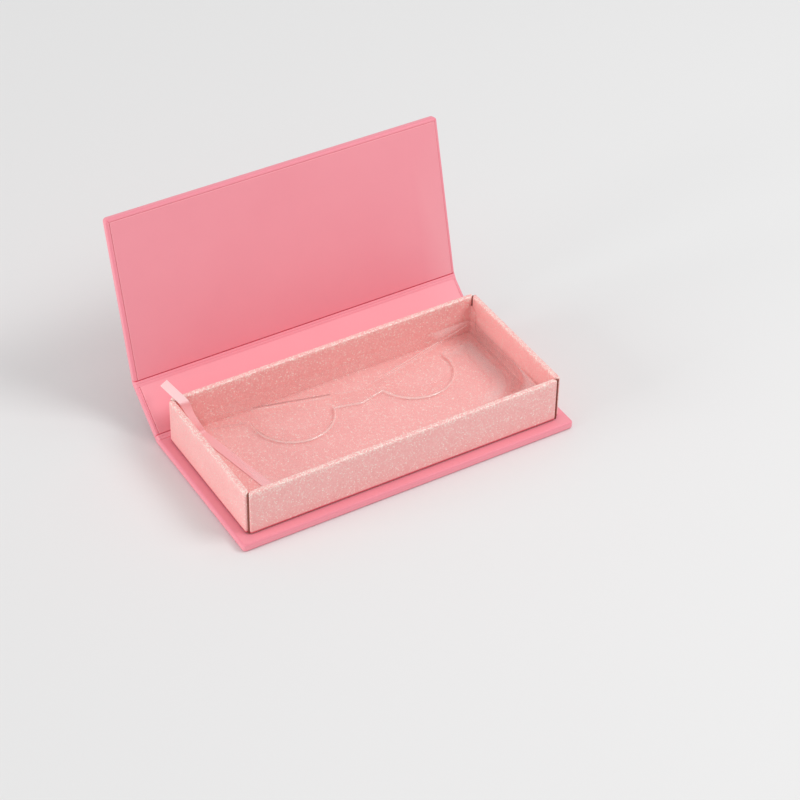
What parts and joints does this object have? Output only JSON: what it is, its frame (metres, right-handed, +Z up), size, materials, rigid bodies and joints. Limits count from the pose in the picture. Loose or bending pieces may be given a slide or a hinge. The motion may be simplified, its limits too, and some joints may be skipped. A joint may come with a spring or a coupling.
{
  "type": "false eyelash case",
  "caption": "Book-style rigid paper case for strip eyelashes: hinged pink cover, glitter-paper tray, clear formed insert with half-moon seats and a pull ribbon.",
  "frame": {"origin": "centre of the base's underside, on the surface that the case stands on", "axes": "+X along the case to its right end, +Y from the tray's front to the hinge, +Z up"},
  "size_m": [0.116, 0.0874, 0.067],
  "materials": {
    "pink_paper": "smooth pink art paper with a satin film",
    "pink_liner": "smooth pink art paper with a satin film",
    "greyboard": "raw solid greyboard",
    "glitter_paper": "peach-pink glitter paper",
    "kraft_tape": "brown gummed paper tape",
    "magnet": "nickel-plated magnet",
    "clear_sheet": "clear formed sheet",
    "satin_ribbon": "pale pink satin ribbon"
  },
  "bodies": {
    "base": {"base_wrap": "pink_paper", "lower_hinge_strip": "pink_paper", "base_liner": "pink_liner", "base_board": "greyboard", "tray_left_board": "greyboard", "tray_right_board": "greyboard", "tray_front_board": "greyboard", "tray_back_board": "greyboard", "tray_floor_board": "greyboard", "tray_left_paper": "glitter_paper", "tray_right_paper": "glitter_paper", "tray_front_paper": "glitter_paper", "tray_back_paper": "glitter_paper", "tray_floor_paper": "glitter_paper", "corner_stays": "kraft_tape", "tray_magnets": "magnet", "pull_ribbon": "satin_ribbon", "ribbon_tail": "satin_ribbon"},
    "spine": {"spine_board": "greyboard", "spine_wrap": "pink_paper", "spine_liner": "pink_liner", "upper_hinge_strip": "pink_paper"},
    "lid": {"lid_board": "greyboard", "lid_wrap": "pink_paper", "lid_liner": "pink_liner", "lid_magnets": "magnet"},
    "insert": {"lash_insert": "clear_sheet"}
  },
  "joints": [
    {"name": "spine_hinge", "type": "hinge", "parent": "base", "child": "spine", "pos_m": [0, 0.02937, 0.00147], "axis": [1, 0, 0], "range_deg": [-38, 52], "deforming": ["ribbon_tail"]},
    {"name": "lid_hinge", "type": "hinge", "parent": "spine", "child": "lid", "pos_m": [0, 0.04431, 0.01314], "axis": [1, 0, 0], "range_deg": [-37.3, 52.7], "deforming": ["ribbon_tail"]},
    {"name": "insert_lift", "type": "slide", "parent": "base", "child": "insert", "axis": [0, 0, 1], "range_m": [0, 0.008]}
  ]
}
